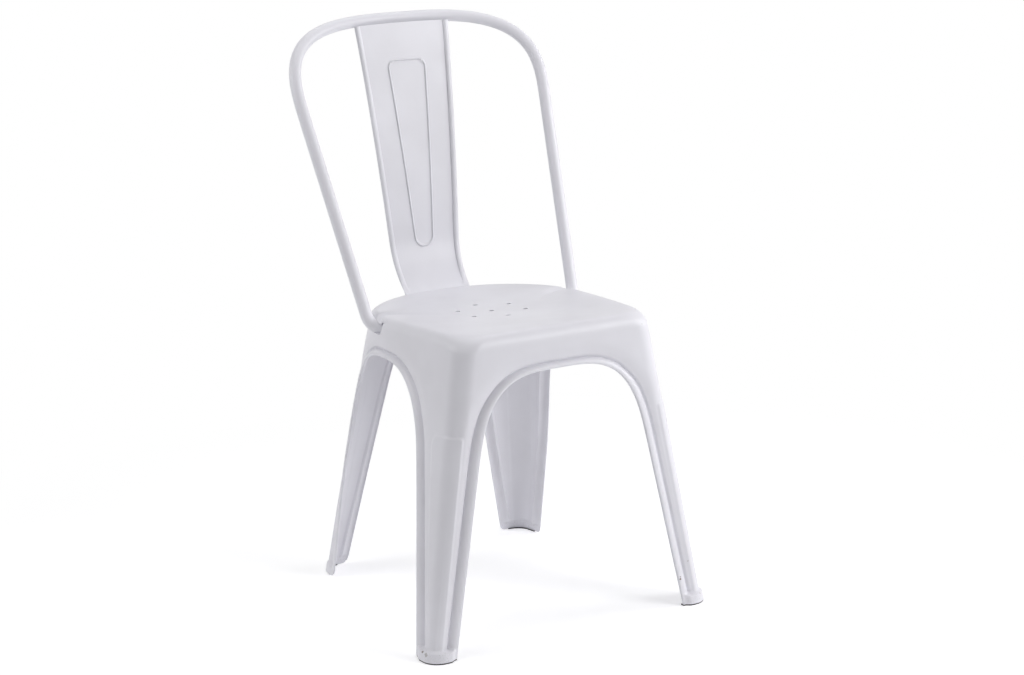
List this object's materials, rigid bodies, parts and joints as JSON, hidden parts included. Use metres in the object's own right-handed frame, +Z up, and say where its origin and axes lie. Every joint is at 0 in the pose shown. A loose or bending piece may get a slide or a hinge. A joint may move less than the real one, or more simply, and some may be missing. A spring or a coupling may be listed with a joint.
{
  "type": "bistro chair",
  "caption": "Stacking bistro chair of white painted sheet steel: dished seat, flared legs cut from the skirt with rolled arches, bent tube back with a flat embossed splat.",
  "frame": {"origin": "on the floor, in the middle of the chair's outer box", "axes": "+Z up, -Y towards the front of the seat, +X to the left of a person who sits on it"},
  "size_m": [0.459, 0.4865, 0.8405],
  "materials": {
    "white_paint": "satin",
    "dark_rubber": "matte",
    "black_plastic": "matte"
  },
  "bodies": {
    "root": {"seat_pan": "white_paint", "leg_front_left": "white_paint", "glide_front_left": "dark_rubber", "brace_pad_front_left": "black_plastic", "leg_front_right": "white_paint", "glide_front_right": "dark_rubber", "brace_pad_front_right": "black_plastic", "leg_rear_left": "white_paint", "glide_rear_left": "dark_rubber", "brace_pad_rear_left": "black_plastic", "leg_rear_right": "white_paint", "glide_rear_right": "dark_rubber", "brace_pad_rear_right": "black_plastic", "back_hoop": "white_paint", "back_splat": "white_paint", "brace_bar_lower": "white_paint", "brace_bar_upper": "white_paint"}
  },
  "joints": []
}
